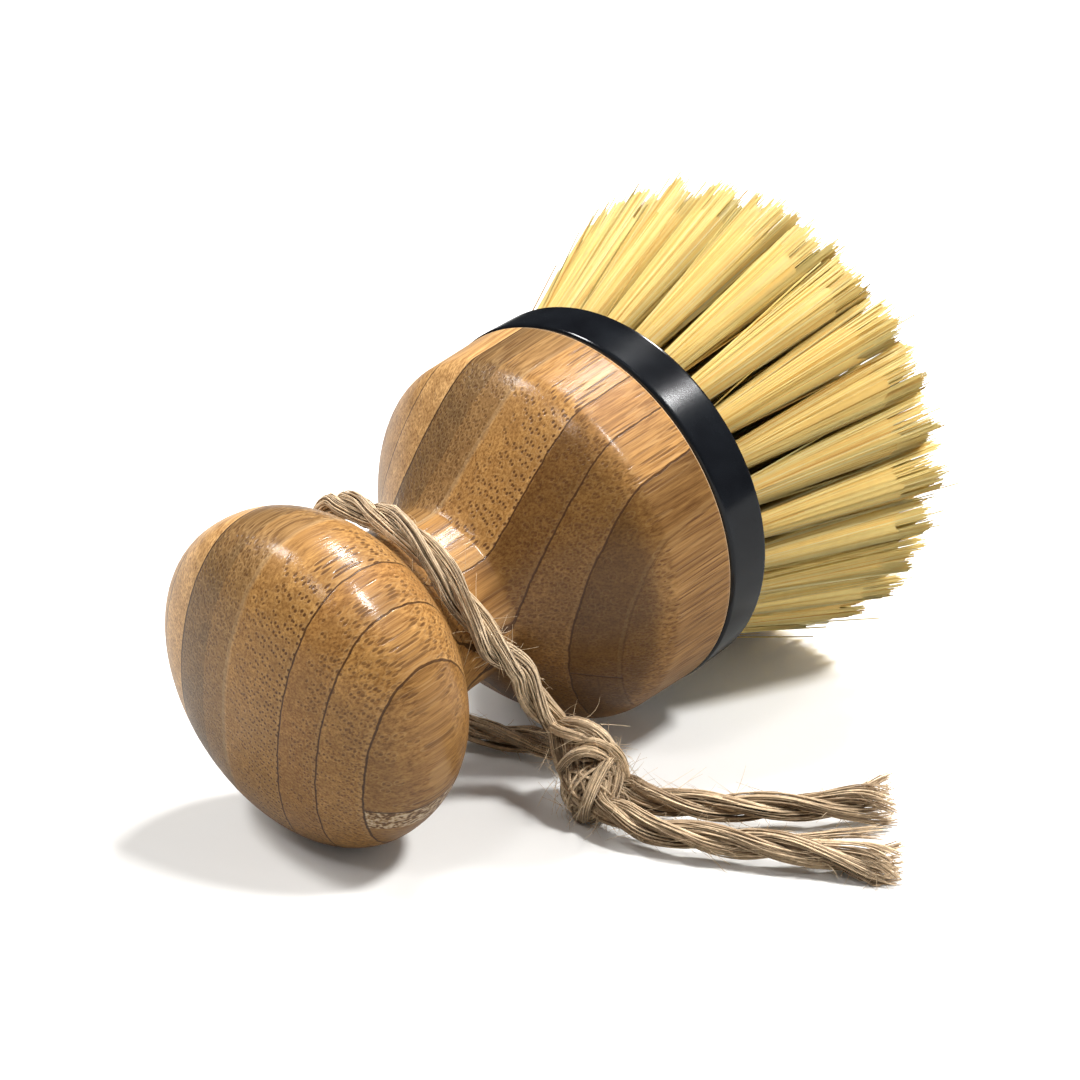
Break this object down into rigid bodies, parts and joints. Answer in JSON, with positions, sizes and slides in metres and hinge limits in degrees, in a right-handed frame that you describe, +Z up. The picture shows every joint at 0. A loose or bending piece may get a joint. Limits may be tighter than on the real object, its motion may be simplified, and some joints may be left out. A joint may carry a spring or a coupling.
{
  "type": "scrubbing brush",
  "caption": "Palm-sized round scrubbing brush: turned laminated-bamboo knob handle, black moulded base, flared plant-fibre tufts and a knotted jute hanging loop.",
  "frame": {"origin": "centre of the brush's footprint, the twine left out, on the surface it lies on", "axes": "+X along the brush from the knob to the bristles, +Z up"},
  "size_m": [0.0988, 0.0918, 0.0668],
  "materials": {
    "bamboo": "clear gloss lacquer over laminated bamboo",
    "black_plastic": "glossy moulded",
    "plant_fibre": "natural straw-yellow fibre",
    "anchor_wire": "bright flat wire",
    "jute": "rough twisted jute"
  },
  "bodies": {
    "root": {"handle": "bamboo", "bristle_base": "black_plastic", "tufts_outer": "plant_fibre", "tufts_ring_2": "plant_fibre", "tufts_ring_3": "plant_fibre", "tufts_ring_4": "plant_fibre", "tufts_ring_5": "plant_fibre", "tuft_centre": "plant_fibre", "anchors": "anchor_wire", "twine_loop": "jute", "twine_knot": "jute", "twine_tail_upper": "jute", "twine_tail_lower": "jute"}
  },
  "joints": []
}
